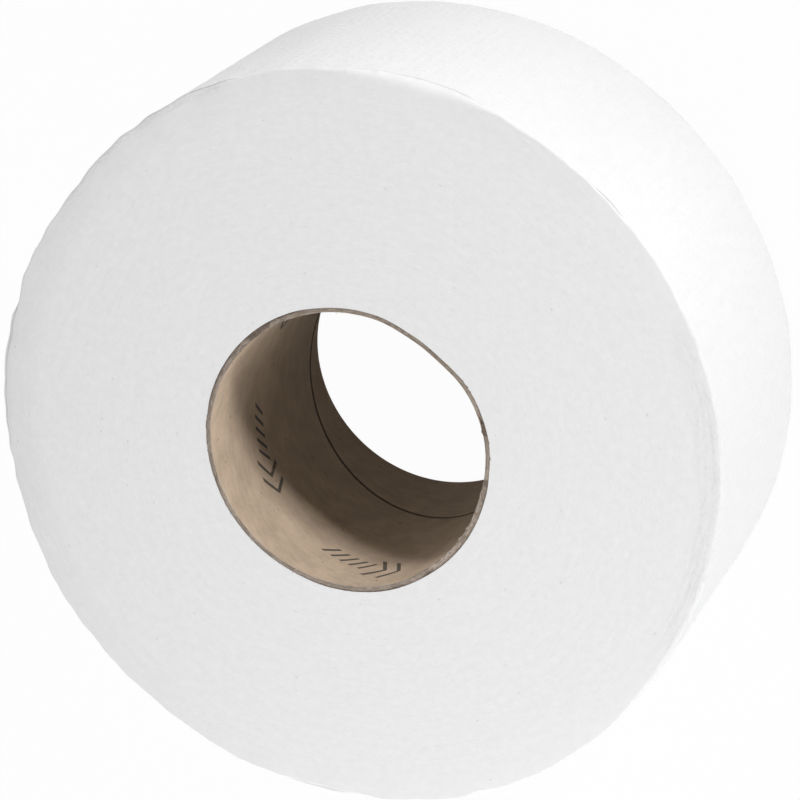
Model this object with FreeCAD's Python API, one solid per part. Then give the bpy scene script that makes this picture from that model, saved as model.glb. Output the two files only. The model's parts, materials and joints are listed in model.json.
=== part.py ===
import FreeCAD, Part
import math
import os

# A commercial jumbo roll of toilet tissue, in millimetres.
# The roll stands on its cut end. The core's axis is the Z axis and the base is Z = 0.

# Driving dimensions of the wound tissue
roll_diameter = 228.6
roll_out_of_round = 3.5
web_width = 91.0
web_off_centre_x = 1.5
web_off_centre_y = 1.7
rim_ease_width = 12.0
rim_ease_drop = 1.5
tail_step = 0.4

# Driving dimensions of the turns that show on the cut faces
turn_pitch = 9.0
turn_groove_width = 0.9
turn_groove_depth = 0.35
turn_margin_at_core = 5.0
turn_margin_at_rim = 2.0

# Driving dimensions of the board core
core_bore_diameter = 86.5
core_wall = 1.8
seam_lead = 96.0
seam_width = 0.6
seam_depth = 0.3
seam_angle_at_base = 158.0

# Sizes that follow from them
core_bore_radius = core_bore_diameter / 2
core_outer_radius = core_bore_radius + core_wall
core_length = web_width
reach_x = (roll_diameter - roll_out_of_round / 2) / 2
reach_y = (roll_diameter + roll_out_of_round / 2) / 2
web_centre = FreeCAD.Vector(web_off_centre_x, web_off_centre_y, 0)
up = FreeCAD.Vector(0, 0, 1)


def eased_section(reach):
    """Half of the web's section, from its middle to its outermost turn, with eased rims."""
    radius = (rim_ease_width ** 2 + rim_ease_drop ** 2) / (2 * rim_ease_drop)
    half_angle = math.asin(rim_ease_width / radius) / 2
    inner = reach - rim_ease_width
    middle = inner + radius * math.sin(half_angle)
    sag = radius * (1 - math.cos(half_angle))
    low_arc = [
        FreeCAD.Vector(inner, 0, 0),
        FreeCAD.Vector(middle, 0, sag),
        FreeCAD.Vector(reach, 0, rim_ease_drop),
    ]
    high_arc = [FreeCAD.Vector(point.x, 0, web_width - point.z) for point in low_arc]
    edges = [
        Part.LineSegment(FreeCAD.Vector(0, 0, 0), low_arc[0]).toShape(),
        Part.Arc(*low_arc).toShape(),
        Part.LineSegment(low_arc[2], high_arc[2]).toShape(),
        Part.Arc(*reversed(high_arc)).toShape(),
        Part.LineSegment(high_arc[0], FreeCAD.Vector(0, 0, web_width)).toShape(),
        Part.LineSegment(FreeCAD.Vector(0, 0, web_width), FreeCAD.Vector(0, 0, 0)).toShape(),
    ]
    return Part.Face(Part.Wire(edges))


def web_slice(centre, reach, start_degrees, span_degrees):
    """A slice of the web about its own centre."""
    section = eased_section(reach)
    section.translate(centre)
    section.rotate(centre, up, start_degrees)
    return section.revolve(centre, up, span_degrees)


def half_oval(centre, half_x, half_y, start_degrees):
    """Three slices whose round outlines join smoothly, from -90 or 90 degrees on."""
    shift = (half_y - half_x) / (2 - math.sqrt(2))
    side = math.sin(math.radians(start_degrees))
    near_end = centre + FreeCAD.Vector(0, side * shift, 0)
    flank = centre + FreeCAD.Vector(side * shift, 0, 0)
    far_end = centre - FreeCAD.Vector(0, side * shift, 0)
    return [
        web_slice(near_end, half_y - shift, start_degrees, 45),
        web_slice(flank, half_x + shift, start_degrees + 45, 90),
        web_slice(far_end, half_y - shift, start_degrees + 135, 45),
    ]


def wound_block():
    """The web with no bore: its outermost turn ends in a straight step along the width."""
    right_half = half_oval(web_centre, reach_x, reach_y, -90)
    tail_centre = web_centre - FreeCAD.Vector(0, tail_step / 2, 0)
    left_half = half_oval(tail_centre, reach_x, reach_y + tail_step / 2, 90)
    slices = right_half + left_half
    return slices[0].fuse(slices[1:]).removeSplitter()


def turn_grooves(face_height, into_web):
    """Half turns of one spiral groove, about two centres, in the cut face at a height.

    into_web is -1 on the top face and +1 on the base.
    """
    shift = turn_pitch / 4
    middle = web_centre * 0.5
    first_radius = core_outer_radius + turn_margin_at_core + middle.Length + shift
    last_radius = min(reach_x, reach_y) - rim_ease_width
    last_radius -= turn_margin_at_rim + middle.Length + shift
    count = int((last_radius - first_radius) / (turn_pitch / 2)) + 1
    tip = face_height + into_web * turn_groove_depth
    mouth = face_height - into_web * turn_groove_depth
    grooves = []
    for index in range(count):
        side = 1 if index % 2 == 0 else -1
        centre = middle - FreeCAD.Vector(side * shift, 0, 0)
        reach = first_radius + index * turn_pitch / 2
        line = centre.x + side * reach
        corners = [
            FreeCAD.Vector(line, centre.y, tip),
            FreeCAD.Vector(line + turn_groove_width, centre.y, mouth),
            FreeCAD.Vector(line - turn_groove_width, centre.y, mouth),
        ]
        section = Part.Face(Part.makePolygon(corners + corners[:1]))
        grooves.append(section.revolve(centre, up, 180))
    return grooves


def tissue_web():
    """The wound tissue: one solid around the core, with the turns in both cut faces."""
    bore = Part.makeCylinder(core_outer_radius, web_width)
    web = wound_block().cut(bore)
    return web.cut(turn_grooves(web_width, -1) + turn_grooves(0, 1))


def seam_groove():
    """The open butt seam of the inner ply: a helix that runs past both ends of the core."""
    overrun = 2 * seam_width
    height = core_length + 2 * overrun
    path = Part.makeHelix(seam_lead, height, core_bore_radius)
    climb = math.atan2(seam_lead, 2 * math.pi * core_bore_radius)
    rise = seam_width / math.cos(climb) / 2
    inner = core_bore_radius - seam_depth
    outer = core_bore_radius + seam_depth
    corners = [
        FreeCAD.Vector(inner, 0, -rise),
        FreeCAD.Vector(outer, 0, -rise),
        FreeCAD.Vector(outer, 0, rise),
        FreeCAD.Vector(inner, 0, rise),
    ]
    profile = Part.makePolygon(corners + corners[:1])
    groove = Part.Wire(path).makePipeShell([profile], True, True)
    groove.translate(FreeCAD.Vector(0, 0, -overrun))
    start = seam_angle_at_base - 360 * overrun / seam_lead
    groove.rotate(FreeCAD.Vector(0, 0, 0), up, start)
    return groove


def core():
    """The spiral-wound board tube, cut off flush with the web at both ends."""
    outside = Part.makeCylinder(core_outer_radius, core_length)
    inside = Part.makeCylinder(core_bore_radius, core_length)
    return outside.cut(inside).cut(seam_groove())


os.makedirs("parts", exist_ok=True)
nodes = {"core": core(), "tissue_web": tissue_web()}
for name, shape in nodes.items():
    solids = shape.Solids
    print(name, len(solids), "solid", round(shape.Volume), "mm3", shape.isValid())
    solids[0].exportStep(os.path.join("parts", name + ".step"))
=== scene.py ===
# %% [markdown]
# # A jumbo roll of toilet tissue, standing on its cut end
# The real thing is two pieces: a brown board tube, wound from strips of kraft paper on a
# slant, and some three hundred metres of soft white tissue wound round it. A saw cuts the
# long log of tissue and tube into rolls, so both cut ends show the edge of every turn.
# The fixed model gives the sizes. This lesson builds the surfaces that the eye sees.

# %% Load the fixed frame
import json
import math
import bmesh
import bpy
import numpy as np
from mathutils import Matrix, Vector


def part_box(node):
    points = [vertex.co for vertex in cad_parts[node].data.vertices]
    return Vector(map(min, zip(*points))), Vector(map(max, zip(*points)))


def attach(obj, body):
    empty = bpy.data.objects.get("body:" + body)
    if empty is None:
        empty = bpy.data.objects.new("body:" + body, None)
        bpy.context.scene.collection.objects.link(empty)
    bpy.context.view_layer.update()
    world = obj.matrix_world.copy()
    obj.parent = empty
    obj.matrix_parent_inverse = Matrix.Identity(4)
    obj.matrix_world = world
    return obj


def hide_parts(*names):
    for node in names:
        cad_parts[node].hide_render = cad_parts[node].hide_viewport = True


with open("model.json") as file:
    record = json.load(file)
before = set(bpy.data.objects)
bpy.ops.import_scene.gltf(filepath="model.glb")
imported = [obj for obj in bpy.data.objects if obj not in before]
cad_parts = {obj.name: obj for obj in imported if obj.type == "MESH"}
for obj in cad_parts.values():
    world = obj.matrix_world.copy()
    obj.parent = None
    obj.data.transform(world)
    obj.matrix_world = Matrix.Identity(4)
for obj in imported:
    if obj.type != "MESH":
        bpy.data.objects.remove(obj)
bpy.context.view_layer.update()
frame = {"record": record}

# %% [markdown]
# ## Sizes
# Every size that the fixed model knows is read from it: the box of each node, and the
# bore from its mount. The rest, such as the softness of a rim, is named in the cell that
# first uses it. `MM` turns millimetres into the metres that Blender works in. Angles run
# from +X towards +Y, seen from above, in degrees.

# %% Sizes of the roll
MM = 0.001
core_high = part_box("core")[1]
web_low, web_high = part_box("tissue_web")
mounts = {mount["name"]: mount for mount in frame["record"]["mounts"]}
BORE_RADIUS = mounts["core_bore"]["dims"]["r_mm"] * MM
CORE_RADIUS = core_high[0]
HEIGHT = web_high[2]
TAIL_STEP = 0.4 * MM
TAIL_ANGLE = 270.0
HALF_X = (web_high[0] - web_low[0]) / 2
HALF_Y = (web_high[1] - web_low[1] - TAIL_STEP) / 2
WEB_CENTRE = np.array([(web_high[0] + web_low[0]) / 2, web_high[1] - HALF_Y])
print("bore radius", BORE_RADIUS, "core radius", CORE_RADIUS, "height", HEIGHT)
print("half widths", HALF_X, HALF_Y, "centre", WEB_CENTRE)


# %% Helpers for smooth shapes
def smooth_step(low, high, value):
    """0 below low, 1 above high, and a smooth rise between."""
    share = np.clip((value - low) / (high - low), 0.0, 1.0)
    return share * share * (3 - 2 * share)


def stretch(angle, start, rise, hold, fall):
    """1 along a stretch of the circle, with soft ends, in degrees."""
    turned = (angle - start) % 360
    return smooth_step(0, rise, turned) * (1 - smooth_step(rise + hold, rise + hold + fall, turned))


def wander(angle, rng, slowest, fastest, size):
    """A closed random wave round the circle, of a given root mean square size."""
    total = np.zeros_like(angle)
    for count in range(slowest, fastest + 1):
        total += rng.normal() * np.cos(np.radians(count * angle) + rng.uniform(0, 2 * math.pi))
    return size * total / math.sqrt((fastest - slowest + 1) / 2)


print("a stretch from 20 to 60 degrees, at 40:", stretch(np.array([40.0]), 20, 5, 30, 5))

# %% [markdown]
# ## The camera
# The photograph looks down on the cut face from the upper right, with a long lens, and
# the camera is turned about its own axis. A fit to the rim, the bore and the far end of
# the bore gave the place and the directions below, in the frame of the roll.

# %% Camera
CAMERA_PLACE = (0.3303, 0.3634, 0.9827)
CAMERA_RIGHT = np.array([0.94353, 0.0, -0.33130])
CAMERA_UP = np.array([-0.11362, 0.93936, -0.32357])
FOCAL_PIXELS = 3407.9
PICTURE_PIXELS = 800
SENSOR_MM = 36.0


def add_object(name, data):
    """Put a mesh, a lamp or a camera into the scene under a name."""
    piece = bpy.data.objects.new(name, data)
    bpy.context.scene.collection.objects.link(piece)
    return piece


def add_camera():
    """The photograph's camera: a long lens, a little over a metre away."""
    data = bpy.data.cameras.new("camera")
    data.sensor_width = SENSOR_MM
    data.lens = SENSOR_MM * FOCAL_PIXELS / PICTURE_PIXELS
    camera = add_object("camera", data)
    back = np.cross(CAMERA_RIGHT, CAMERA_UP)
    for column, vector in enumerate((CAMERA_RIGHT, CAMERA_UP, back, CAMERA_PLACE)):
        for row in range(3):
            camera.matrix_world[row][column] = vector[row]
    bpy.context.scene.camera = camera
    return camera


camera = add_camera()
print("lens", round(camera.data.lens, 1), "mm")

# %% [markdown]
# ## Helpers for node trees
# A node tree is easier to read when each value is a plain call. `feed` gives a socket a
# number or links another socket to it, and `calc` places one Math node.

# %% Node helpers
MIX_FIRST_COLOUR = 6
MIX_SECOND_COLOUR = 7
MIX_COLOUR_RESULT = 2


def feed(tree, socket, value):
    """Give a socket a plain value, or link another socket to it."""
    if isinstance(value, bpy.types.NodeSocket):
        tree.links.new(value, socket)
    else:
        socket.default_value = value


def place(tree, kind, settings=None, **values):
    """Add a node, set its settings, and feed its inputs by name."""
    node = tree.nodes.new(kind)
    for name, value in (settings or {}).items():
        setattr(node, name, value)
    for name, value in values.items():
        feed(tree, node.inputs[name.replace("_", " ")], value)
    return node


def calc(tree, operation, *values):
    """One Math node, given by its operation and its values in order."""
    node = tree.nodes.new("ShaderNodeMath")
    node.operation = operation
    for socket, value in zip(node.inputs, values):
        feed(tree, socket, value)
    return node.outputs[0]


def join(tree, x, y, z):
    """A vector from three values."""
    return place(tree, "ShaderNodeCombineXYZ", X=x, Y=y, Z=z).outputs[0]


def flat_parts(tree, vector):
    """The first two of a vector's three values."""
    return place(tree, "ShaderNodeSeparateXYZ", Vector=vector).outputs[:2]


def strip_space(tree, along, across, long_size, wide_size, shift=0.0):
    """A vector in the flat space of a strip, scaled to the size of the marks on it."""
    long_share = calc(tree, "DIVIDE", along, long_size)
    return join(tree, long_share, calc(tree, "DIVIDE", across, wide_size), shift)


def ramp(tree, value, low, high):
    """A smooth rise from 0 to 1 between two values."""
    settings = {"interpolation_type": "SMOOTHSTEP"}
    node = place(tree, "ShaderNodeMapRange", settings, Value=value, From_Min=low, From_Max=high)
    return node.outputs[0]


def blend_colour(tree, mask, first, second):
    """Mix two colours by a mask."""
    node = place(tree, "ShaderNodeMix", {"data_type": "RGBA"})
    feed(tree, node.inputs[0], mask)
    feed(tree, node.inputs[MIX_FIRST_COLOUR], first)
    feed(tree, node.inputs[MIX_SECOND_COLOUR], second)
    return node.outputs[MIX_COLOUR_RESULT]


def tint(tree, base, mask, weight, colour):
    """Lay a colour over a base where a mask shows, at a weight."""
    return blend_colour(tree, calc(tree, "MULTIPLY", mask, weight), base, colour)


def noise(tree, vector, scale, detail, roughness):
    """Smooth noise from 0 to 1."""
    node = place(
        tree, "ShaderNodeTexNoise", Vector=vector, Scale=scale, Detail=detail, Roughness=roughness
    )
    return node.outputs[0]


def new_group(name, inputs, outputs):
    """A shader node group with named float and vector sockets."""
    group = bpy.data.node_groups.new(name, "ShaderNodeTree")
    for title, kind, start in inputs:
        socket = group.interface.new_socket(title, in_out="INPUT", socket_type=kind)
        if start is not None:
            socket.default_value = start
    for title, kind in outputs:
        group.interface.new_socket(title, in_out="OUTPUT", socket_type=kind)
    source = group.nodes.new("NodeGroupInput")
    sink = group.nodes.new("NodeGroupOutput")
    return group, source.outputs, sink.inputs


def use_group(tree, group, **values):
    """Place a node group with its own values."""
    return place(tree, "ShaderNodeGroup", {"node_tree": group}, **values).outputs


def new_material(name, roughness):
    """An empty material with a Principled shader and plain constant gloss."""
    material = bpy.data.materials.new(name)
    material.use_nodes = True
    tree = material.node_tree
    tree.nodes.clear()
    shader = tree.nodes.new("ShaderNodeBsdfPrincipled")
    shader.inputs["Roughness"].default_value = roughness
    shader.inputs["Specular IOR Level"].default_value = 0.2
    output = tree.nodes.new("ShaderNodeOutputMaterial")
    tree.links.new(shader.outputs[0], output.inputs[0])
    return material, tree, shader


def raise_surface(tree, shader, height, distance):
    """Feed a height to the shader's normal through a Bump node."""
    node = place(tree, "ShaderNodeBump", Height=height, Distance=distance)
    tree.links.new(node.outputs[0], shader.inputs["Normal"])


# %% [markdown]
# ## Effects that paper and board share
# Both the tissue and the board are made of fibres, so both show the same three things at
# their own scale: a fibrous grain, sparse flecks, and, on a cut end, streaks that follow
# the turns. Each effect is one node group, placed in each material with its own values.


# %% Group: fibre grain
def make_fibre_group():
    """Fine grain and a coarser cloud, for colour and for height."""
    group, given, wanted = new_group(
        "fibre_grain",
        [("Vector", "NodeSocketVector", None), ("Cloud", "NodeSocketFloat", 0.3)],
        [("Tone", "NodeSocketFloat"), ("Height", "NodeSocketFloat")],
    )
    fine = noise(group, given["Vector"], 1.0, 3.0, 0.6)
    coarse = noise(group, given["Vector"], 0.23, 2.0, 0.5)
    share = calc(group, "MULTIPLY", coarse, given["Cloud"])
    rest = calc(group, "SUBTRACT", 1.0, given["Cloud"])
    mixed = calc(group, "MULTIPLY_ADD", fine, rest, share)
    group.links.new(mixed, wanted["Tone"])
    group.links.new(fine, wanted["Height"])
    return group


fibre_group = make_fibre_group()
print("made the group", fibre_group.name)


# %% Group: sparse flecks
def make_fleck_group():
    """Small round or long specks: a few cells of a cell pattern, chosen at random."""
    group, given, wanted = new_group(
        "flecks",
        [
            ("Vector", "NodeSocketVector", None),
            ("Share", "NodeSocketFloat", 0.1),
            ("Size", "NodeSocketFloat", 0.2),
        ],
        [("Mask", "NodeSocketFloat")],
    )
    cells = place(group, "ShaderNodeTexVoronoi", Vector=given["Vector"], Scale=1.0)
    pick = flat_parts(group, cells.outputs["Color"])[0]
    chosen = calc(group, "LESS_THAN", pick, given["Share"])
    near = calc(group, "DIVIDE", cells.outputs["Distance"], given["Size"])
    spot = calc(group, "SUBTRACT", 1.0, ramp(group, near, 0.4, 1.0))
    group.links.new(calc(group, "MULTIPLY", chosen, spot), wanted["Mask"])
    return group


fleck_group = make_fleck_group()
print("made the group", fleck_group.name)


# %% Group: space that follows the turns
def make_turn_group():
    """A vector whose fast direction crosses the turns and whose slow one follows them."""
    group, given, wanted = new_group(
        "turn_space",
        [
            ("Vector", "NodeSocketVector", None),
            ("Along", "NodeSocketFloat", 0.003),
            ("Across", "NodeSocketFloat", 0.0004),
        ],
        [("Vector", "NodeSocketVector")],
    )
    x, y = flat_parts(group, given["Vector"])
    radius = calc(group, "SQRT", calc(group, "MULTIPLY_ADD", x, x, calc(group, "MULTIPLY", y, y)))
    along_x = calc(group, "DIVIDE", x, given["Along"])
    along_y = calc(group, "DIVIDE", y, given["Along"])
    across = calc(group, "DIVIDE", radius, given["Across"])
    group.links.new(join(group, along_x, along_y, across), wanted["Vector"])
    return group


turn_group = make_turn_group()
print("node groups:", [group.name for group in bpy.data.node_groups])

# %% [markdown]
# ## Tissue, on the cut ends
# A cut end is the edge of hundreds of plies, so close that no single turn can be told.
# What is left is an even, chalky white with faint short streaks along the turns, a few grey specks,
# and near the rim some turns that have crept apart, with painted shade in the narrow gaps between
# them and a faint painted shade over the whole rim band. The mesh carries the larger ridges, and
# the material carries the finer marks.

# %% Material: cut face of the tissue
TISSUE_WHITE = 0.875
FACE_DARK = TISSUE_WHITE - 0.026
FACE_PALE = TISSUE_WHITE + 0.022
# Painted shade: the grey of the dashes over the loose outer turns, which stands for the shade in
# the gaps between them.
LOOSE_TURN_SHADE = 0.77
MOTTLE_SIZE = 2.6 * MM
# Each kind of mark: the size of its cells along and across the turns in millimetres, the
# share of cells that hold one, its size in the cell, how strongly it shows, and its grey.
FACE_MARKS = {
    "dim dashes": (4.2, 1.2, 0.10, 0.34, 0.5, 0.80),
    "specks": (4.2, 2.6, 0.06, 0.17, 0.4, 0.58),
    "pale nicks": (4.6, 1.1, 0.09, 0.3, 0.6, 0.93),
}


def grey(value):
    """A neutral colour."""
    return (value, value, value, 1.0)


def add_face_marks(tree, here, base):
    """Lay every kind of mark over the base, and give the mask of each kind."""
    masks = {}
    for name, (along, across, share, size, weight, tone) in FACE_MARKS.items():
        space = use_group(tree, turn_group, Vector=here, Along=along * MM, Across=across * MM)
        marks = use_group(tree, fleck_group, Vector=space["Vector"], Share=share, Size=size)
        masks[name] = marks["Mask"]
        base = tint(tree, base, masks[name], weight, grey(tone))
    return base, masks


def make_cut_face_material():
    """Chalky cut edges of tissue: streaks, specks and pale nicks along the turns, and painted shade
    in the gaps between the loose outer turns near the rim.
    """
    material, tree, shader = new_material("tissue_cut_face", 0.95)
    here = place(tree, "ShaderNodeTexCoord").outputs["Object"]
    fine = use_group(tree, turn_group, Vector=here, Along=1.6 * MM, Across=0.32 * MM)
    grain = use_group(tree, fibre_group, Vector=fine["Vector"], Cloud=0.35)
    long = use_group(tree, turn_group, Vector=here, Along=14 * MM, Across=0.7 * MM)
    bands = noise(tree, long["Vector"], 1.0, 3.0, 0.6)
    rim = place(tree, "ShaderNodeAttribute", {"attribute_name": "loose_turns"}).outputs["Fac"]
    mottle = noise(tree, here, 1 / MOTTLE_SIZE, 4.0, 0.6)
    mixed = calc(tree, "MULTIPLY_ADD", mottle, 0.38, calc(tree, "MULTIPLY", grain["Tone"], 0.62))
    base = blend_colour(tree, ramp(tree, mixed, 0.36, 0.66), grey(FACE_DARK), grey(FACE_PALE))
    # Painted shade: grey dashes over the loose outer turns stand for the shade in the gaps between
    # them, with a faint even darkening of the whole rim band.
    dashes = calc(tree, "MULTIPLY_ADD", ramp(tree, grain["Tone"], 0.47, 0.60), 0.75, 0.15)
    base = tint(tree, base, dashes, rim, grey(LOOSE_TURN_SHADE))
    base, masks = add_face_marks(tree, here, base)
    tree.links.new(base, shader.inputs["Base Color"])
    relief = calc(tree, "MULTIPLY_ADD", bands, calc(tree, "MULTIPLY", rim, 1.6), grain["Height"])
    relief = calc(tree, "MULTIPLY_ADD", masks["specks"], -0.8, relief)
    raise_surface(tree, shader, relief, 0.05 * MM)
    return material


cut_face_material = make_cut_face_material()
print("marks on the cut face:", list(FACE_MARKS))

# %% [markdown]
# ## Tissue, on the wound surface
# The outermost turn is a creped sheet: tiny ridges run across it, where a blade scraped
# the wet web off its drying drum, and a shallow emboss of dots holds the two plies
# together. The sheet has its own flat space, the unrolled strip, kept as a UV map, so
# the crepe and the dots follow the sheet and meet cleanly at the glued tail.

# %% Material: outermost turn
EMBOSS_PITCH = 3.0 * MM
CREPE_PITCH = 0.55 * MM
CREPE_LENGTH = 2.4 * MM
WRAP_DARK = TISSUE_WHITE - 0.040
WRAP_PALE = TISSUE_WHITE - 0.012


def make_wrap_material():
    """Soft creped tissue with a faint emboss of dots."""
    material, tree, shader = new_material("tissue_wrap", 0.9)
    shader.inputs["Sheen Weight"].default_value = 0.08
    sheet = place(tree, "ShaderNodeUVMap", {"uv_map": "unrolled"}).outputs[0]
    along, across = flat_parts(tree, sheet)
    crepe_space = strip_space(tree, along, across, CREPE_PITCH, CREPE_LENGTH)
    crepe = use_group(tree, fibre_group, Vector=crepe_space, Cloud=0.4)
    dot_space = strip_space(tree, along, across, EMBOSS_PITCH, EMBOSS_PITCH)
    dots = place(tree, "ShaderNodeTexVoronoi", Vector=dot_space, Scale=1.0, Randomness=0.35)
    dot = calc(tree, "SUBTRACT", 1.0, ramp(tree, dots.outputs["Distance"], 0.05, 0.45))
    tone = ramp(tree, crepe["Tone"], 0.3, 0.7)
    base = blend_colour(tree, tone, grey(WRAP_DARK), grey(WRAP_PALE))
    tree.links.new(base, shader.inputs["Base Color"])
    relief = calc(tree, "MULTIPLY_ADD", dot, 2.3, crepe["Height"])
    raise_surface(tree, shader, relief, 0.07 * MM)
    return material


wrap_material = make_wrap_material()
print("tissue materials:", cut_face_material.name, wrap_material.name)

# %% [markdown]
# ## The shape of the wound tissue
# A soft roll is never a true cylinder. The outline is a slightly off-centre oval with
# low waves, the rims are rounded by handling, and at some places the outermost turn
# has slipped back from the edge or stands off. Each of these is a short function of the
# angle, so the shape stays easy to change. A call of `stretch` gives each place: where
# it starts, and over how many degrees it rises, holds and falls.

# %% Outline as a function of the angle
SKEW = 0.18 * MM
SQUARE_COSINE = 0.22 * MM
SQUARE_SINE = 0.08 * MM


def outline_radius(angle):
    """Distance of the outermost turn from the web's centre."""
    turn = np.radians(angle)
    radius = (HALF_X + HALF_Y) / 2 + (HALF_X - HALF_Y) / 2 * np.cos(2 * turn)
    radius += SKEW * np.sin(2 * turn)
    radius += SQUARE_COSINE * np.cos(4 * turn) + SQUARE_SINE * np.sin(4 * turn)
    return radius + wander(angle, np.random.default_rng(3), 9, 34, 0.09 * MM)


def tail_swell(angle):
    """Growth of the outermost turn over the half circle before its glued end."""
    from_start = (angle - TAIL_ANGLE + 180) % 360
    return TAIL_STEP * np.where(from_start < 180, from_start / 180, 0.0)


quarters = np.arange(0.0, 360.0, 90.0)
print("outline radius at each quarter in mm:", np.round(outline_radius(quarters) / MM, 1))


# %% Rounding and gap of the rim
def fray(angle):
    """Short waves in the edge of the outermost turn, strongest on the handled left side."""
    waves = wander(angle, np.random.default_rng(17), 36, 88, 0.09 * MM)
    return waves * (0.6 + stretch(angle, 100, 20, 110, 60))


def rim_drop(angle):
    """How far the cut face falls away towards the rim."""
    waves = wander(angle, np.random.default_rng(8), 8, 40, 0.10)
    return (0.6 + 1.6 * stretch(angle, 85, 40, 64, 36)) * (1 + waves) * MM


def corner_radius(angle):
    """Rounding of the rim: crushed over at the top, soft at the lower right."""
    crushed = 2.9 * stretch(angle, 67, 8, 5, 18)
    soft = 1.1 * stretch(angle, 316, 16, 14, 14)
    waves = wander(angle, np.random.default_rng(9), 14, 70, 0.12)
    return (0.55 + crushed + soft) * (1 + waves) * MM


def slipped_back(angle):
    """Depth of the gap behind the outermost turn, where it has slipped from the edge."""
    top = 0.12 * stretch(angle, 70, 4, 10, 20)
    left = 0.35 * stretch(angle, 160, 6, 40, 20) + 0.6 * stretch(angle, 107, 3, 26, 8)
    right = 0.25 * stretch(angle, 43.5, 1.5, 3.5, 2)
    return (0.03 + top + left + right) * MM


print("rim drop at each quarter in mm:", np.round(rim_drop(quarters) / MM, 2))
print("rounding of the rim there in mm:", np.round(corner_radius(quarters) / MM, 2))

# %% Bends and bulges of the rim
# Places round the rim in degrees, and how far the rim is pushed out there in millimetres.
RIM_BENDS = [
    (140, 0.0), (147, 0.0), (153, 0.45), (159, 0.8), (163, 0.35), (165, -0.2), (172, -0.1),
    (178, 0.5), (184, -0.1), (190, 0.25), (197, 0.75), (202, 0.9), (207, 1.5), (213, 1.5),
    (218, 1.1), (222, 0.75), (227, 0.85), (232, 0.5), (237, 0.0), (244, 0.4), (254, 0.5),
    (258, -0.1), (262, -0.7), (267, -1.0), (271, 0.2), (276, 0.9), (280, 0.45), (285, 1.3),
    (288.5, 1.5), (290.5, 0.4), (294, 1.3), (300, 1.1), (306, 0.7), (312, 0.6), (318, 0.1),
    (330, -0.1), (345, 0.0),
]
EASING_SHIFTS = (-0.8, -0.4, 0.0, 0.4, 0.8)


def handled(angle):
    """How far handling has pushed the rim out or in, eased between the listed places."""
    places, pushes = zip(*RIM_BENDS)
    eased = [np.interp((angle + shift) % 360, places, pushes) for shift in EASING_SHIFTS]
    return sum(eased) / len(EASING_SHIFTS) * MM


def lip(angle):
    """Unevenness of the rim itself."""
    left = 0.85 * stretch(angle, 138, 42, 6, 46)
    return handled(angle) + fray(angle) + left * MM


def stands_off(angle):
    """Bulge of the outermost turn near the rim, with a sudden start at the left."""
    left = 1.1 * stretch(angle, 163, 3.5, 5, 40) + 0.35 * stretch(angle, 107, 4, 22, 10)
    top = 0.22 * stretch(angle, 69.5, 3, 2, 16)
    right = 0.3 * stretch(angle, 43, 1.5, 3, 4)
    return (left + top + right) * MM + lip(angle)


print("rim pushed out at each quarter in mm:", np.round(stands_off(quarters) / MM, 2))

# %% [markdown]
# ## The mesh of the wound tissue
# One closed grid makes the whole web. Its columns go round the roll and its rows follow
# the section: out over the top face, round the rim, into the little gap behind the
# outermost turn, down the side, and back over the base. A grid keeps the rows along the
# turns, so a small height for each row makes real concentric ridges.

# %% Columns round the roll
COLUMN_STEP = 0.5
TAIL_HALF_STEP = 0.02
columns = np.arange(0, 360, COLUMN_STEP)
columns = columns[columns != TAIL_ANGLE]
columns = np.sort(np.append(columns, [TAIL_ANGLE - TAIL_HALF_STEP, TAIL_ANGLE + TAIL_HALF_STEP]))
directions = np.stack([np.cos(np.radians(columns)), np.sin(np.radians(columns))], axis=1)
inner_line = CORE_RADIUS * directions
outer_line = WEB_CENTRE + outline_radius(columns)[:, None] * directions
reach = np.linalg.norm(outer_line - inner_line, axis=1)
print("columns", len(columns), "web thickness", reach.min(), "to", reach.max())

# %% Slopes of the cut face
EASE_WIDTH = 12 * MM
CONE_WIDTH = 50 * MM
CONE_DROP = 1.5 * MM
SHIFT_WIDTH = 7 * MM


def face_fall(inset, drop):
    """How far the cut face lies below its middle, at an inset from the rim."""
    share = np.clip(1 - inset / EASE_WIDTH, 0.0, 1.0)
    return drop * share * share


def coned(inset):
    """A slight slope of the whole left half of the upper face."""
    share = np.clip(1 - inset / CONE_WIDTH, 0.0, 1.0)
    return CONE_DROP * stretch(columns, 80, 60, 62, 55) * share * share


def rim_shift(inset):
    """Push of the rim at an inset from it; it fades towards the core."""
    return lip(columns) * (1 - smooth_step(0.0, SHIFT_WIDTH, inset))


def core_bend(angle):
    """How far the upper end of the tube is pushed out or in by handling."""
    out = 0.75 * stretch(angle, -8, 22, 12, 22)
    dip = 0.65 * stretch(angle, 34, 18, 10, 16) + 0.5 * stretch(angle, 285, 22, 38, 12)
    return (0.3 + out - dip - 0.2 * stretch(angle, 95, 15, 50, 15)) * MM


def overlap(angle):
    """How far the innermost turns lap over the sawn board."""
    near = 0.45 * stretch(angle, -12, 10, 100, 14)
    return (near + 0.4 * stretch(angle, 163, 10, 72, 20)) * MM


print("the left half slopes by up to", coned(np.zeros_like(columns)).max() / MM, "mm")


# %% One row of the grid
def section_row(inset, height):
    """One row of the grid: points at an inset from the outline and at a height.

    Only the outermost turns swell towards the tail, so the swelling fades with the inset.
    """
    swell = tail_swell(columns) * (1 - smooth_step(0.3 * MM, 3 * MM, inset))
    share = ((reach - inset + swell) / reach)[:, None]
    flat = inner_line + share * (outer_line - inner_line)
    return np.column_stack([flat, np.broadcast_to(height, inset.shape)])


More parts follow.
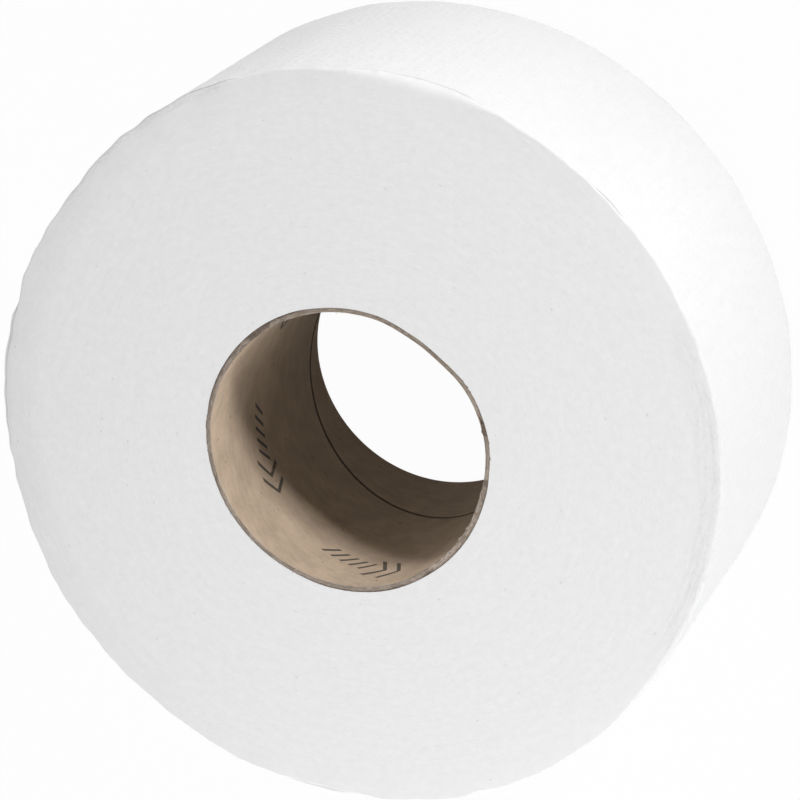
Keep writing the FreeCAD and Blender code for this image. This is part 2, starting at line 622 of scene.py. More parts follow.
def loose_turns(angle, inset):
    """Where the outer turns have crept apart: wide on the right, narrow at the upper left."""
    right = 0.78 * stretch(angle, 314, 30, 39, 6) + 0.35 * stretch(angle, 46, 8, 18, 8)
    left = 1.2 * stretch(angle, 106, 8, 26, 12)
    wide = (0.12 + right) * (1 - smooth_step(4 * MM, 10 * MM, inset))
    return wide + left * (1 - smooth_step(0.8 * MM, 3.2 * MM, inset))


def turn_ridges(rng, inset):
    """Height of one row of turns: small everywhere, larger in the loose outer turns."""
    size = 0.016 + 0.07 * loose_turns(columns, inset)
    return size * MM * wander(columns, rng, 1, 9, 1.0)


print("points in one row:", len(section_row(np.zeros_like(columns), HEIGHT)))

# %% Rows over the cut faces
FACE_ROWS = 62
BASE_ROWS = 22
ROW_CROWDING = 1.25
CORE_BEND_WIDTH = 9 * MM
BASE_RIDGE_SHARE = 0.5


def top_face_row(rng, inset, drop, innermost):
    """One row over the upper face, bent by handling near the rim and near the core."""
    ridge = turn_ridges(rng, inset) * (0.0 if innermost else 1.0)
    height = HEIGHT - face_fall(inset, drop) - coned(inset) + ridge
    near_core = 1 - smooth_step(0, CORE_BEND_WIDTH, reach - inset)
    inset = inset - rim_shift(inset) - core_bend(columns) * near_core
    if innermost:
        inset = inset + overlap(columns)
    return section_row(inset, height), inset


def base_face_row(rng, inset, drop, innermost):
    """One row over the base, which stays on or above the floor."""
    ridge = turn_ridges(rng, inset) * (0.0 if innermost else BASE_RIDGE_SHARE)
    return section_row(inset, face_fall(inset, drop) + np.abs(ridge)), inset


def face_rows(rng, make_row, drop, corner, row_count):
    """Rows over one cut face, from the core to the start of the rim's rounding."""
    rows = []
    for index in range(row_count):
        spread = 1 - (1 - index / row_count) ** ROW_CROWDING
        inset = reach + (corner - reach) * spread
        rows.append(make_row(rng, inset, drop, index == 0))
    return rows


print("rows over the top and over the base:", FACE_ROWS, BASE_ROWS)

# %% Rows round the rims
CORNER_ROWS = 8
BASE_SHIFT_SHARE = 0.3


def corner_rows(top, drop, corner):
    """Rows round a rim, from the cut face to the wound surface."""
    rows = []
    for index in range(CORNER_ROWS):
        turn = math.radians(90) * index / (CORNER_ROWS - 1)
        inset = corner * (1 - math.sin(turn))
        fall = face_fall(inset, drop) + corner * (1 - math.cos(turn))
        fall = fall + (coned(inset) if top > 0 else 0.0)
        inset = inset - rim_shift(inset) * (1.0 if top > 0 else BASE_SHIFT_SHARE)
        height = top - fall if top > 0 else fall
        rows.append((section_row(inset, height), inset))
    return rows


print("rows round each rim:", CORNER_ROWS)

# %% Rows down the wound surface
SIDE_ROWS = 24
SLACK_SIZE = 0.035 * MM
BAND_SIZE = 0.05 * MM
BAND_HALF_WAVES = 7
BULGE_FADE = 5.0


def side_rows(rng, high, low):
    """Rows down the wound surface, with faint bands of tension and slack."""
    rows = []
    for index in range(SIDE_ROWS + 1):
        share = index / SIDE_ROWS
        height = high + (low - high) * share
        slack = wander(columns, rng, 3, 24, SLACK_SIZE)
        band = BAND_SIZE * math.sin(BAND_HALF_WAVES * share * math.pi + 1.0)
        ease = math.sin(math.pi * share)
        bulge = stands_off(columns) * math.exp(-share * BULGE_FADE)
        inset = -(slack + band) * ease - bulge
        rows.append((section_row(inset, height), inset))
    return rows


print("rows down the side:", SIDE_ROWS + 1)

# %% All rows in order
BASE_DROP = 1.2 * MM
BASE_CORNER = 1.0 * MM
# How far below the rim each step of the gap behind the outermost turn lies.
GAP_WALL = 0.10 * MM
GAP_FLOOR = 0.28 * MM
LAST_TURN_EDGE = 0.30 * MM
SIDE_START = 0.42 * MM


def web_rows():
    """All rows of the section in order, and which of them belong to the wound surface."""
    rng = np.random.default_rng(11)
    top_drop = rim_drop(columns)
    top_corner = corner_radius(columns)
    rows = face_rows(rng, top_face_row, top_drop, top_corner, FACE_ROWS)
    rows += corner_rows(HEIGHT, top_drop, top_corner)
    rim = HEIGHT - top_drop - top_corner - coned(np.zeros_like(columns))
    gap = slipped_back(columns)
    bulge = stands_off(columns)
    rows.append((section_row(gap, rim - GAP_WALL), gap))
    rows.append((section_row(gap - bulge, rim - GAP_FLOOR), gap))
    rows.append((section_row(-bulge, rim - LAST_TURN_EDGE), -bulge))
    first_side = len(rows)
    base_drop = np.full_like(columns, BASE_DROP)
    base_corner = np.full_like(columns, BASE_CORNER)
    rows += side_rows(rng, rim - SIDE_START, base_drop + base_corner)
    last_side = len(rows) - 1
    rows += corner_rows(0.0, base_drop, base_corner)[::-1][1:]
    rows += face_rows(rng, base_face_row, base_drop, base_corner, BASE_ROWS)[::-1]
    return rows, first_side, last_side


def grid_faces(row_count, column_count):
    """Quads of a grid that closes on itself both ways, row by row."""
    faces = []
    for row in range(row_count):
        below = (row + 1) % row_count
        for column in range(column_count):
            beside = (column + 1) % column_count
            faces.append((
                row * column_count + column,
                below * column_count + column,
                below * column_count + beside,
                row * column_count + beside,
            ))
    return faces


web_parts = web_rows()
print("rows of the whole section:", len(web_parts[0]))

# %% Assemble the web
WEB_SHARP_TURN = 50
CUT_FACE_SLOT = 0
WRAP_SLOT = 1


def mark_sharp_edges(mesh, degrees):
    """Shade smooth, but keep edges sharp where two faces turn by more than an angle."""
    work = bmesh.new()
    work.from_mesh(mesh)
    bmesh.ops.recalc_face_normals(work, faces=work.faces)
    for face in work.faces:
        face.smooth = True
    for edge in work.edges:
        if len(edge.link_faces) == 2 and edge.calc_face_angle() > math.radians(degrees):
            edge.smooth = False
    work.to_mesh(mesh)
    work.free()


def unroll(mesh, faces, points):
    """Lay the faces out along the sheet, onwards from the tail, as a UV map."""
    circumference = 2 * math.pi * (HALF_X + HALF_Y) / 2
    arc = ((columns - TAIL_ANGLE) % 360) / 360 * circumference
    count = len(columns)
    flat = []
    for index, face in enumerate(faces):
        column = index % count
        seam = arc[(column + 1) % count] < arc[column]
        for vertex in face:
            past_seam = seam and vertex % count != column
            flat.append(arc[vertex % count] + (circumference if past_seam else 0.0))
            flat.append(points[vertex][2])
    mesh.uv_layers.new(name="unrolled").data.foreach_set("uv", flat)


def build_web(rows, first_side, last_side):
    """The wound tissue as one closed mesh with an unrolled UV map."""
    points = np.concatenate([row for row, inset in rows])
    faces = grid_faces(len(rows), len(columns))
    mesh = bpy.data.meshes.new("wound_tissue")
    mesh.from_pydata(points.tolist(), [], faces)
    loose = np.concatenate([loose_turns(columns, inset) for row, inset in rows])
    # These values also tell the cut-face material where to paint shade between the loose turns.
    attribute = mesh.attributes.new("loose_turns", "FLOAT", "POINT")
    attribute.data.foreach_set("value", loose.astype(np.float32))
    unroll(mesh, faces, points)
    mesh.materials.append(cut_face_material)
    mesh.materials.append(wrap_material)
    slots = []
    for index in range(len(faces)):
        on_side = first_side - 1 <= index // len(columns) < last_side
        slots.append(WRAP_SLOT if on_side else CUT_FACE_SLOT)
    mesh.polygons.foreach_set("material_index", slots)
    mark_sharp_edges(mesh, WEB_SHARP_TURN)
    return add_object("wound_tissue", mesh)


def open_edges(piece):
    """How many edges of a piece do not lie between exactly two faces; 0 is a closed skin."""
    loops = [edge for face in piece.data.polygons for edge in face.edge_keys]
    counts = np.unique(np.array(loops), axis=0, return_counts=True)[1]
    return int((counts != 2).sum())


web = build_web(*web_parts)
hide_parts("tissue_web")
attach(web, "root")
print("web triangles", 2 * len(web.data.polygons), "open edges", open_edges(web))

# %% [markdown]
# ## Kraft board
# The tube's inner ply is plain brown kraft paper: matt, warm, a little mottled, with
# long fibres along the strip and a few dark and pale flecks. Its strip space is the
# ply's own: one axis along the strip, the other across it, so fibres and print run on
# the slant as they do on the real tube. Every 54 mm the strip carries a printed mark
# of two chevrons and a row of slanted bars, in worn blue-black ink. Light that bounces
# inside a brown tube turns redder at each bounce; the photograph shows a greyer shade,
# so bounced rays meet a darker, greyer board than the camera does.

# %% Size of the wound ply and its print
SEAM_LEAD = 96.0 * MM
SEAM_ANGLE = 158.0
CLIMB = math.atan2(SEAM_LEAD, 2 * math.pi * BORE_RADIUS)
PLY_WIDTH = SEAM_LEAD * math.cos(CLIMB)
MARK_PITCH = 53.6 * MM
MARK_START = 173.3 * MM
MARK_ACROSS = 42.8 * MM
MARK_SHARE_BEHIND = 0.64
# Each row of lines in millimetres: from where to where, pitch, half the width of a line,
# half the height of the row, and how far a line leans for each millimetre of height.
CHEVRONS = (-4.2, 7.0, 5.6, 0.8, 5.8, 0.8)
BARS = (-24.6, -6.6, 3.6, 0.6, 2.9, 0.5)
LINE_SOFTNESS = 0.15
print("ply width", round(PLY_WIDTH / MM, 1), "mm at", round(math.degrees(CLIMB), 1), "degrees")


# %% A plain printed mark
def line_row(tree, x, lean_by, tall, sizes):
    """A row of leaning lines, one each pitch; lean_by is what the lines lean with."""
    low, high, pitch, half_line, half_height, lean = sizes
    value = calc(tree, "MULTIPLY_ADD", lean_by, lean, x)
    beat = calc(tree, "PINGPONG", calc(tree, "SUBTRACT", value, low + pitch / 2), pitch / 2)
    edge = ramp(tree, beat, half_line - LINE_SOFTNESS, half_line + LINE_SOFTNESS)
    line = calc(tree, "SUBTRACT", 1.0, edge)
    line = calc(tree, "MULTIPLY", line, calc(tree, "GREATER_THAN", value, low))
    line = calc(tree, "MULTIPLY", line, calc(tree, "LESS_THAN", value, high))
    return calc(tree, "MULTIPLY", line, calc(tree, "LESS_THAN", tall, half_height))


def plain_mark(tree, along, across):
    """A printed mark: two chevrons with a row of slanted bars behind them."""
    step = calc(tree, "DIVIDE", calc(tree, "SUBTRACT", along, MARK_START), MARK_PITCH)
    local = calc(tree, "FRACT", calc(tree, "ADD", step, MARK_SHARE_BEHIND))
    local = calc(tree, "SUBTRACT", local, MARK_SHARE_BEHIND)
    x = calc(tree, "MULTIPLY", local, MARK_PITCH / MM)
    y = calc(tree, "DIVIDE", calc(tree, "SUBTRACT", across, MARK_ACROSS), MM)
    tall = calc(tree, "ABSOLUTE", y)
    chevrons = line_row(tree, x, tall, tall, CHEVRONS)
    return calc(tree, "MAXIMUM", chevrons, line_row(tree, x, y, tall, BARS))


print("a mark every", round(MARK_PITCH / MM, 1), "mm along the ply")

# %% Material: inner ply
BOARD_PALE = (0.70, 0.55, 0.41, 1.0)
BOARD_DARK = (0.545, 0.42, 0.31, 1.0)
BOARD_SEAM = (0.10, 0.068, 0.045, 1.0)
BOARD_BOUNCE = (0.34, 0.30, 0.26, 1.0)
DARK_FLECK = (0.25, 0.13, 0.08, 1.0)
PALE_FLECK = (0.74, 0.62, 0.5, 1.0)
TORN_FIBRE = (0.52, 0.44, 0.38, 1.0)
INK = (0.035, 0.036, 0.038, 1.0)
CLOUD_SIZE = 9 * MM
SEAM_CORE = 0.40 * MM
SEAM_FADE = 0.9 * MM


def show_tears(tree, base, tone):
    """Streaks of pale pinkish fibre where a vertex value says that the board is torn."""
    tear = place(tree, "ShaderNodeAttribute", {"attribute_name": "torn"}).outputs["Fac"]
    return tint(tree, base, ramp(tree, tear, 0.0, 0.9), ramp(tree, tone, 0.42, 0.60), TORN_FIBRE)


def board_flecks(tree, along, across, base):
    """Sparse dark flecks and paler, longer ones along the strip."""
    dark_space = strip_space(tree, along, across, 3.4 * MM, 2.0 * MM)
    dark = use_group(tree, fleck_group, Vector=dark_space, Share=0.15, Size=0.19)
    base = tint(tree, base, dark["Mask"], 0.7, DARK_FLECK)
    pale_space = strip_space(tree, along, across, 2.6 * MM, 0.8 * MM, shift=7.0)
    pale = use_group(tree, fleck_group, Vector=pale_space, Share=0.08, Size=0.3)
    return tint(tree, base, pale["Mask"], 0.35, PALE_FLECK)


def make_ply_material():
    """Brown kraft paper with its print."""
    material, tree, shader = new_material("kraft_inner_ply", 0.85)
    strip = place(tree, "ShaderNodeUVMap", {"uv_map": "ply"}).outputs[0]
    along, across = flat_parts(tree, strip)
    fibre_space = strip_space(tree, along, across, 1.6 * MM, 0.45 * MM)
    grain = use_group(tree, fibre_group, Vector=fibre_space, Cloud=0.45)
    cloud = noise(tree, strip, 1 / CLOUD_SIZE, 3.0, 0.55)
    tone = calc(tree, "MULTIPLY_ADD", cloud, 0.45, calc(tree, "MULTIPLY", grain["Tone"], 0.55))
    base = blend_colour(tree, ramp(tree, tone, 0.35, 0.65), BOARD_DARK, BOARD_PALE)
    base = board_flecks(tree, along, across, base)
    worn = ramp(tree, grain["Tone"], 0.28, 0.42)
    printed = calc(tree, "MULTIPLY", plain_mark(tree, along, across), worn)
    base = tint(tree, base, printed, 0.85, INK)
    edge = calc(tree, "MINIMUM", across, calc(tree, "SUBTRACT", PLY_WIDTH, across))
    seam = calc(tree, "SUBTRACT", 1.0, ramp(tree, edge, SEAM_CORE, SEAM_FADE))
    base = tint(tree, base, seam, 0.88, BOARD_SEAM)
    base = show_tears(tree, base, grain["Tone"])
    bounced = place(tree, "ShaderNodeLightPath").outputs["Is Diffuse Ray"]
    base = blend_colour(tree, bounced, base, BOARD_BOUNCE)
    tree.links.new(base, shader.inputs["Base Color"])
    raise_surface(tree, shader, grain["Height"], 0.06 * MM)
    return material


ply_material = make_ply_material()
print("ply material with", len(ply_material.node_tree.nodes), "nodes")

# %% Material: sawn board edge
EDGE_DARK = (0.225, 0.180, 0.145, 1.0)
EDGE_PALE = (0.41, 0.345, 0.29, 1.0)
EDGE_TORN = (0.54, 0.45, 0.38, 1.0)
# The darkest brown is painted shade at the outer edge of the board, where it meets the tissue, and
# also the colour of a bared inner ply at the nicks.
EDGE_GAP_SHADE_AND_BARE_PLY = (0.105, 0.072, 0.058, 1.0)


def make_board_edge_material():
    """The sawn end of the tube: grey-brown plies with torn pale fibres, painted shade towards the
    outer edge where the board meets the tissue, and dark bared ply at the nicks.
    """
    material, tree, shader = new_material("board_sawn_edge", 0.95)
    here = place(tree, "ShaderNodeTexCoord").outputs["Object"]
    space = use_group(tree, turn_group, Vector=here, Along=1.3 * MM, Across=0.3 * MM)
    grain = use_group(tree, fibre_group, Vector=space["Vector"], Cloud=0.4)
    base = blend_colour(tree, ramp(tree, grain["Tone"], 0.35, 0.66), EDGE_DARK, EDGE_PALE)
    torn_space = use_group(tree, turn_group, Vector=here, Along=2.4 * MM, Across=0.8 * MM)
    tufts = use_group(tree, fleck_group, Vector=torn_space["Vector"], Share=0.16, Size=0.4)
    base = tint(tree, base, tufts["Mask"], 0.5, EDGE_TORN)
    base = show_tears(tree, base, grain["Tone"])
    # Painted shade towards the outer edge of the board, where it meets the tissue, and the dark
    # colour of a bared inner ply at the nicks.
    gap_shade_and_bare_ply = place(tree, "ShaderNodeAttribute", {"attribute_name": "gap_shade_and_bare_ply"}).outputs["Fac"]
    base = tint(tree, base, ramp(tree, gap_shade_and_bare_ply, 0.1, 1.0), 0.7, EDGE_GAP_SHADE_AND_BARE_PLY)
    tree.links.new(base, shader.inputs["Base Color"])
    raise_surface(tree, shader, grain["Height"], 0.15 * MM)
    return material


board_edge_material = make_board_edge_material()
print("board materials:", ply_material.name, board_edge_material.name)

# %% [markdown]
# ## The board tube
# The real tube is wound from a strip on a mandrel, edge against edge, and then sawn
# square. The mesh is made in the same way: a strip that climbs round the bore for two
# turns, with its edges turned down into the butt seam, welded where one turn meets the
# next, and cut off by two planes. Pulling the cut loops outwards gives the sawn ends.

# %% Wind the inner ply
PLY_STEP = 1.0
PLY_OVERRUN = 12
PLY_LINES = 44
SEAM_HALF = 0.30 * MM
SEAM_DEPTH = 0.30 * MM
WELD_DISTANCE = 0.02 * MM
SAW_TOLERANCE = 0.001 * MM


def ply_lines():
    """Places across the strip, from one edge to the other, and how deep each lies."""
    middle = np.linspace(0, SEAM_LEAD, PLY_LINES + 2)[1:-1]
    edge = [(0.0, SEAM_DEPTH), (0.7 * SEAM_HALF, 0.9 * SEAM_DEPTH), (1.3 * SEAM_HALF, 0.0)]
    lines = list(edge)
    lines += [(place_across, 0.0) for place_across in middle]
    lines += [(SEAM_LEAD - place_across, depth) for place_across, depth in reversed(edge)]
    return lines


def wind_ply():
    """The helical strip as a bmesh with its own UV map."""
    work = bmesh.new()
    uv = work.loops.layers.uv.new("ply")
    lines = ply_lines()
    angles = np.arange(SEAM_ANGLE - 360, SEAM_ANGLE + 360 + PLY_OVERRUN, PLY_STEP)
    spots = []
    for angle in angles:
        turn = math.radians(angle)
        seam_height = (angle - SEAM_ANGLE) / 360 * SEAM_LEAD
        column = []
        for across, depth in lines:
            radius = BORE_RADIUS + depth
            height = seam_height + across
            vertex = work.verts.new((radius * math.cos(turn), radius * math.sin(turn), height))
            arc = turn * BORE_RADIUS
            along = arc * math.cos(CLIMB) + height * math.sin(CLIMB)
            column.append((vertex, (along, across * math.cos(CLIMB))))
        spots.append(column)
    for left, right in zip(spots, spots[1:]):
        for row in range(len(lines) - 1):
            corners = [left[row], left[row + 1], right[row + 1], right[row]]
            face = work.faces.new([vertex for vertex, flat in corners])
            for loop, (vertex, flat) in zip(face.loops, corners):
                loop[uv].uv = flat
    bmesh.ops.remove_doubles(work, verts=work.verts, dist=WELD_DISTANCE)
    return work


def saw_off(work, height, outward):
    """Cut the tube by a level plane and throw the far side away."""
    parts = work.verts[:] + work.edges[:] + work.faces[:]
    bmesh.ops.bisect_plane(
        work,
        geom=parts,
        dist=SAW_TOLERANCE,
        plane_co=(0, 0, height),
        plane_no=(0, 0, outward),
        clear_outer=True,
    )


print("lines along the ply:", len(ply_lines()))


# %% Where the sawn end is torn
def rough_ring(rng, step, size):
    """Random values round the circle, one for each step of degrees, as a function of the angle."""
    places = np.arange(0, 360, step)
    values = rng.normal(0, size, len(places))
    return lambda angle: float(np.interp(angle % 360, places, values, period=360))


def nick(angle, centre, half_width, depth):
    """A small bite out of the sawn edge."""
    away = abs((angle - centre + 180) % 360 - 180)
    return depth * max(0.0, 1 - away / half_width)


def torn(angle):
    """1 where the saw tore the board's inner plies instead of cutting them."""
    wide = 0.55 * stretch(angle, 126, 4, 10, 10) + stretch(angle, 292, 14, 38, 9)
    short = 0.8 * stretch(angle, 12, 3, 4, 1.5) + 0.7 * stretch(angle, 347, 1.5, 3, 1.5)
    return float(wide + short)


def nicked(angle):
    """1 at the few small places where a dark inner ply is laid bare."""
    places = stretch(angle, 12, 2, 4, 1) + stretch(angle, 352, 1, 2, 1)
    return float(places + stretch(angle, 121, 3, 8, 4) + 0.6 * stretch(angle, 303, 2, 1, 3))


def bites(angle):
    """The deeper nicks of the upper end, together."""
    first = nick(angle, 118, 3.0, 0.8 * MM)
    return first + nick(angle, 19, 2.5, 1.1 * MM) + nick(angle, 322, 4.0, 0.5 * MM)


torn_degrees = [angle for angle in range(360) if torn(angle) > 0.5]
print("degrees of the upper end that are torn:", len(torn_degrees))

# %% Pull the cut loops out to the tube's outside
EDGE_STEPS = 6
EDGE_SLOT = 1
SLOW_WAVE = 0.08 * MM
QUICK_WAVE = 0.07 * MM
BURR_SIZE = 0.12 * MM
BURR_GAIN = 2.2
TORN_REACH = 0.25 * MM
END_CROWN = 0.10 * MM
END_FALL = 0.30 * MM
HIGHEST_BURR = 0.35 * MM
EDGE_WEAR = 0.45
SHADE_START = 0.45
LEVEL_TOLERANCE = 0.01 * MM


def angle_of(vertex):
    """The angle at which a vertex stands, in degrees."""
    return math.degrees(math.atan2(vertex.co.y, vertex.co.x))


def move_out(vertex, factor):
    """Multiply the distance of a vertex from the axis."""
    vertex.co.x *= factor
    vertex.co.y *= factor


def open_ring(work, height):
    """The edges of the open loop at a height."""
    ring = []
    for edge in work.edges:
        level = all(abs(vertex.co.z - height) < LEVEL_TOLERANCE for vertex in edge.verts)
        if edge.is_boundary and level:
            ring.append(edge)
    return ring


def pull_out_end(work, height, outward, wear, seed):
    """Extrude the open loop at one end across the thickness of the board."""
    rng = np.random.default_rng(seed)
    torn_layer = work.verts.layers.float["torn"]
    gap_shade_and_bare_ply_layer = work.verts.layers.float["gap_shade_and_bare_ply"]
    slow = rough_ring(rng, 11, SLOW_WAVE)
    ring = open_ring(work, height)
    for step in range(1, EDGE_STEPS + 1):
        share = step / EDGE_STEPS
        quick = rough_ring(rng, PLY_STEP, QUICK_WAVE)
        burr = rough_ring(rng, PLY_STEP, BURR_SIZE)
        new = bmesh.ops.extrude_edge_only(work, edges=ring)["geom"]
        for vertex in [item for item in new if isinstance(item, bmesh.types.BMVert)]:
            angle = angle_of(vertex)
            tear = wear * torn(angle)
            lift = (slow(angle) + quick(angle)) * (1 + tear) - wear * bites(angle)
            lift += END_CROWN * math.sin(math.pi * share) - END_FALL * share * share
            reach_in = (1 - share) * tear * (TORN_REACH + BURR_GAIN * abs(burr(angle)))
            radius = BORE_RADIUS + (CORE_RADIUS - BORE_RADIUS) * share - reach_in
            move_out(vertex, radius / math.hypot(vertex.co.x, vertex.co.y))
            vertex.co.z = height + outward * min(lift, HIGHEST_BURR)
            vertex[torn_layer] = max(tear * (1.1 - share), EDGE_WEAR * (1 - 4 * share))
            # Painted shade: the board darkens over the outer part of its thickness, where it meets
            # the tissue, and less so where it is torn. The nicks add the dark colour of a bared
            # inner ply.
            shade = max(0.0, share - SHADE_START) / (1 - SHADE_START)
            shade *= 1 - 0.6 * min(1.0, tear)
            vertex[gap_shade_and_bare_ply_layer] = shade + 0.8 * wear * nicked(angle)
        for face in [item for item in new if isinstance(item, bmesh.types.BMFace)]:
            face.material_index = EDGE_SLOT
        ring = [item for item in new if isinstance(item, bmesh.types.BMEdge) and item.is_boundary]
    return ring


print("steps across the thickness of the board:", EDGE_STEPS)

# %% Assemble the tube
TUBE_SHARP_TURN = 60
TORN_DEPTH = 1.6 * MM
WORN_DEPTH = 0.5 * MM
BENT_DEPTH = 14 * MM


def wear_bore(work):
    """Note how torn each vertex of the bore is, close below the upper end."""
    layer = work.verts.layers.float["torn"]
    for vertex in work.verts:
        depth = HEIGHT - vertex.co.z
        tear = torn(angle_of(vertex)) * (1 - depth / TORN_DEPTH)
        vertex[layer] = max(tear, EDGE_WEAR * (1 - depth / WORN_DEPTH))


def bend_end(work):
    """Bend the upper end of the tube, and keep the whole tube on the floor."""
    for vertex in work.verts:
        vertex.co.z = max(vertex.co.z, 0.0)
        near_end = smooth_step(HEIGHT - BENT_DEPTH, HEIGHT, vertex.co.z)
        radius = math.hypot(vertex.co.x, vertex.co.y)
        move_out(vertex, 1 + float(core_bend(angle_of(vertex)) * near_end) / radius)


def build_tube():
    """The board tube as one closed mesh."""
    work = wind_ply()
    work.verts.layers.float.new("torn")
    work.verts.layers.float.new("gap_shade_and_bare_ply")
    saw_off(work, HEIGHT, 1)
    saw_off(work, 0.0, -1)
    wear_bore(work)
    top_ring = pull_out_end(work, HEIGHT, 1, 1.0, 21)
    base_ring = pull_out_end(work, 0.0, -1, 0.0, 22)
    bend_end(work)
    bmesh.ops.bridge_loops(work, edges=top_ring + base_ring)
    mesh = bpy.data.meshes.new("board_tube")
    work.to_mesh(mesh)
    work.free()
    mesh.materials.append(ply_material)
    mesh.materials.append(board_edge_material)
    mark_sharp_edges(mesh, TUBE_SHARP_TURN)
    return add_object("board_tube", mesh)


tube = build_tube()
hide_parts("core")
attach(tube, "root")
print("tube faces", len(tube.data.polygons), "open edges", open_edges(tube))

# %% [markdown]
# ## Torn fibres
# Where the saw tore the board, single fibres and thin tufts stand out of the edge. Each
# is a short tapered tube that bends as it goes, laid mostly along the edge. They are
# very small, but without them the sawn end looks moulded.

# %% Fibres on the upper end
FIBRE_COUNT = 110
FIBRE_RINGS = 5
FIBRE_LENGTH = (0.7 * MM, 2.0 * MM)
FIBRE_HALF_WIDTH = (0.04 * MM, 0.10 * MM)
FIBRE_TAPER = 0.7
FIBRE_ROOT_DEPTH = 0.15 * MM
SHARE_AT_TEARS = 0.8
FIBRE_PALENESS = 0.8


def fibre_start(rng):
    """An angle for a fibre: most of them stand at the torn places."""
    angle = rng.uniform(0, 360)
    while rng.uniform() < SHARE_AT_TEARS and torn(angle) < 0.4:
        angle = rng.uniform(0, 360)
    return angle


def fibre_line(rng):
    """Points along one fibre, from its root in the board to its tip."""
    start = fibre_start(rng)
    turn = math.radians(start)
    radius = rng.uniform(BORE_RADIUS, CORE_RADIUS - 0.5 * MM) + float(core_bend(start))
    point = np.array([radius * math.cos(turn), radius * math.sin(turn), HEIGHT - FIBRE_ROOT_DEPTH])
    along = np.array([-math.sin(turn), math.cos(turn), 0.0]) * rng.choice([-1, 1])
    outward = np.array([math.cos(turn), math.sin(turn), 0.0]) * rng.normal(0.15, 0.45)
    heading = along + outward + np.array([0, 0, rng.uniform(0.15, 0.75)])
    bend = rng.normal(0, 0.25, 3) + np.array([0, 0, -0.16])
    length = rng.uniform(*FIBRE_LENGTH)
    points = [point]
    for ring in range(FIBRE_RINGS):
        heading = heading / np.linalg.norm(heading)
        point = point + heading * length / FIBRE_RINGS
        points.append(point)
        heading = heading + bend
    return points


def add_fibre(work, points, thick):
    """One closed tapered tube of four sides through the points."""
    rings = []
    for step, point in enumerate(points[:-1]):
        heading = points[step + 1] - point
        side = np.cross(heading, [0.3, 0.2, 1.0])
        side = side / np.linalg.norm(side)
        rise = np.cross(side, heading)
        rise = rise / np.linalg.norm(rise)
        size = thick * (1 - FIBRE_TAPER * step / FIBRE_RINGS)
        corners = [side, rise, -side, -rise]
        rings.append([work.verts.new(point + size * corner) for corner in corners])
    tip = work.verts.new(points[-1])
    for corner in range(4):
        following = (corner + 1) % 4
        for low, high in zip(rings, rings[1:]):
            work.faces.new([low[corner], low[following], high[following], high[corner]])
        work.faces.new([rings[-1][corner], rings[-1][following], tip])
    work.faces.new(rings[0][::-1])


def build_fibres():
    """All loose fibres in one mesh."""
    rng = np.random.default_rng(31)
    work = bmesh.new()
    layer = work.verts.layers.float.new("torn")
    for index in range(FIBRE_COUNT):
        points = fibre_line(rng)
        add_fibre(work, points, rng.uniform(*FIBRE_HALF_WIDTH))
    for vertex in work.verts:
        vertex[layer] = FIBRE_PALENESS
    bmesh.ops.recalc_face_normals(work, faces=work.faces)
    mesh = bpy.data.meshes.new("torn_fibres")
    work.to_mesh(mesh)
    work.free()
    mesh.materials.append(board_edge_material)
    return add_object("torn_fibres", mesh)


fibres = build_fibres()
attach(fibres, "root")
print("fibres", FIBRE_COUNT, "open edges", open_edges(fibres))

# %% [markdown]
# ## Floor and light
# A white studio. The soft key stands at the upper right of the picture, so low that it
# reaches only the first third of the bore. Two weak soft boxes stand lower still, on both
# sides of the key, and carry its light round the wound side without entering the bore.
# A small one near the cut face makes its lower part a little brighter, and a pale sky,
# brighter behind the roll, fills the rest. Camera and gloss see a white background, and
# the floor still takes a faint shadow.

# %% Floor
FLOOR_HALF = 4.0
FLOOR_GLOW = 0.97
FLOOR_WHITE = 0.7
WHITE = grey(1.0)


def seen_directly(tree):
    """1 for rays that show the background itself: from the camera, by gloss or through glass."""
    path = tree.nodes.new("ShaderNodeLightPath").outputs
    direct = calc(tree, "MAXIMUM", path["Is Camera Ray"], path["Is Glossy Ray"])
    return calc(tree, "MAXIMUM", direct, path["Is Transmission Ray"])


def show_mix(tree, output_kind, share, first, second):
    """Send a mix of two shaders to an output."""
    mix = tree.nodes.new("ShaderNodeMixShader")
    feed(tree, mix.inputs[0], share)
    tree.links.new(first.outputs[0], mix.inputs[1])
    tree.links.new(second.outputs[0], mix.inputs[2])
    output = tree.nodes.new(output_kind)
    tree.links.new(mix.outputs[0], output.inputs[0])


def add_floor():
    """A large white floor."""
    mesh = bpy.data.meshes.new("studio_floor")
    half = FLOOR_HALF
    corners = [(-half, -half, 0), (half, -half, 0), (half, half, 0), (-half, half, 0)]
    mesh.from_pydata(corners, [], [(0, 1, 2, 3)])
    material = bpy.data.materials.new("studio_floor")
    material.use_nodes = True
    tree = material.node_tree
    tree.nodes.clear()
    plain = place(tree, "ShaderNodeBsdfDiffuse", Color=grey(FLOOR_WHITE))
    glow = place(tree, "ShaderNodeEmission", Color=WHITE, Strength=1.0)
    share = calc(tree, "MULTIPLY", seen_directly(tree), FLOOR_GLOW)
    show_mix(tree, "ShaderNodeOutputMaterial", share, plain, glow)
    mesh.materials.append(material)
    return add_object("studio_floor", mesh)


floor = add_floor()
print("floor", 2 * FLOOR_HALF, "m wide")

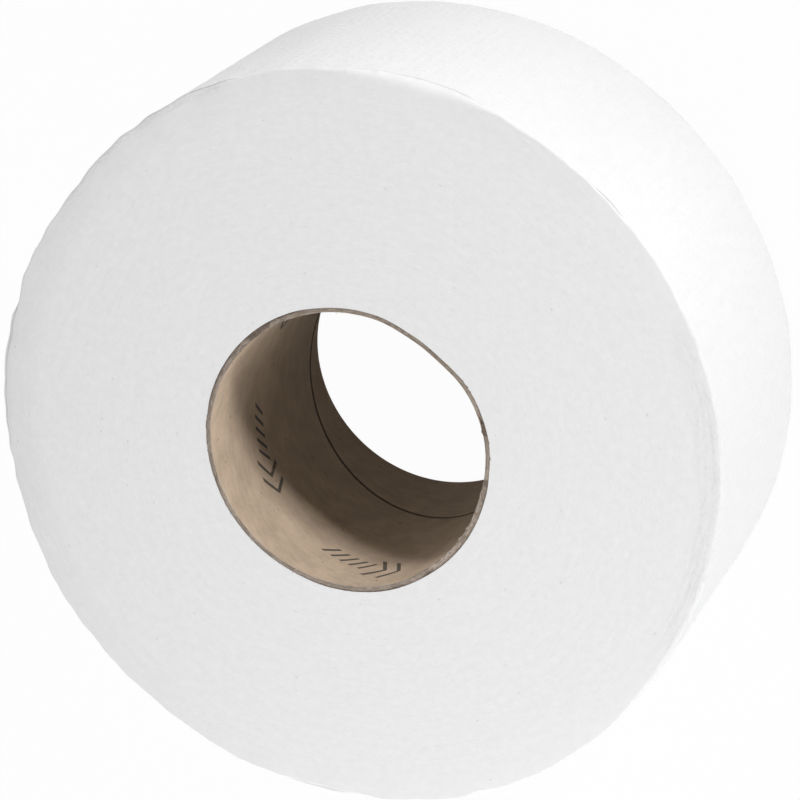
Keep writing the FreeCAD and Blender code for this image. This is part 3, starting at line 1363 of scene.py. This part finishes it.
# %% Sky and lamps
SKY_LEVEL = 0.40
SKY_LEAN = 0.95
SKY_BRIGHT_AZIMUTH = 228
# Name, azimuth and elevation in degrees, distance and size in metres, power in watts.
LAMPS = [
    ("key", 51, 20, 1.6, 0.28, 16.7),
    ("side_light", -33, 8, 1.6, 0.36, 5.7),
    ("edge_light", 105, 7, 1.6, 0.34, 2.7),
    ("face_light", -70, 40, 0.6, 0.3, 0.95),
]


def add_sky():
    """A white sky, brighter on the side away from the key, that the camera sees as white."""
    world = bpy.data.worlds.new("studio_sky")
    world.use_nodes = True
    tree = world.node_tree
    tree.nodes.clear()
    direction = place(tree, "ShaderNodeTexCoord").outputs["Generated"]
    turn = math.radians(SKY_BRIGHT_AZIMUTH)
    x, y = flat_parts(tree, direction)
    lean = calc(tree, "MULTIPLY_ADD", x, math.cos(turn), calc(tree, "MULTIPLY", y, math.sin(turn)))
    slope = calc(tree, "MULTIPLY_ADD", lean, SKY_LEAN, 1.0)
    level = calc(tree, "MULTIPLY", calc(tree, "MULTIPLY", slope, slope), SKY_LEVEL)
    light = place(tree, "ShaderNodeBackground", Color=WHITE, Strength=level)
    shown = place(tree, "ShaderNodeBackground", Color=WHITE, Strength=1.0)
    show_mix(tree, "ShaderNodeOutputWorld", seen_directly(tree), light, shown)
    bpy.context.scene.world = world


def add_lamp(name, azimuth, elevation, distance, size, power):
    """A square soft box that faces the middle of the roll."""
    data = bpy.data.lights.new(name, "AREA")
    data.shape = "SQUARE"
    data.size = size
    data.energy = power
    turn = math.radians(azimuth)
    rise = math.radians(elevation)
    lamp = add_object(name, data)
    lamp.location = (
        distance * math.cos(rise) * math.cos(turn),
        distance * math.cos(rise) * math.sin(turn),
        distance * math.sin(rise) + HEIGHT / 2,
    )
    lamp.rotation_euler = (math.radians(90) - rise, 0, turn + math.radians(90))


add_sky()
for lamp_values in LAMPS:
    add_lamp(*lamp_values)
print("lamps:", [lamp_values[0] for lamp_values in LAMPS])
bpy.context.scene.view_settings.view_transform = "Standard"
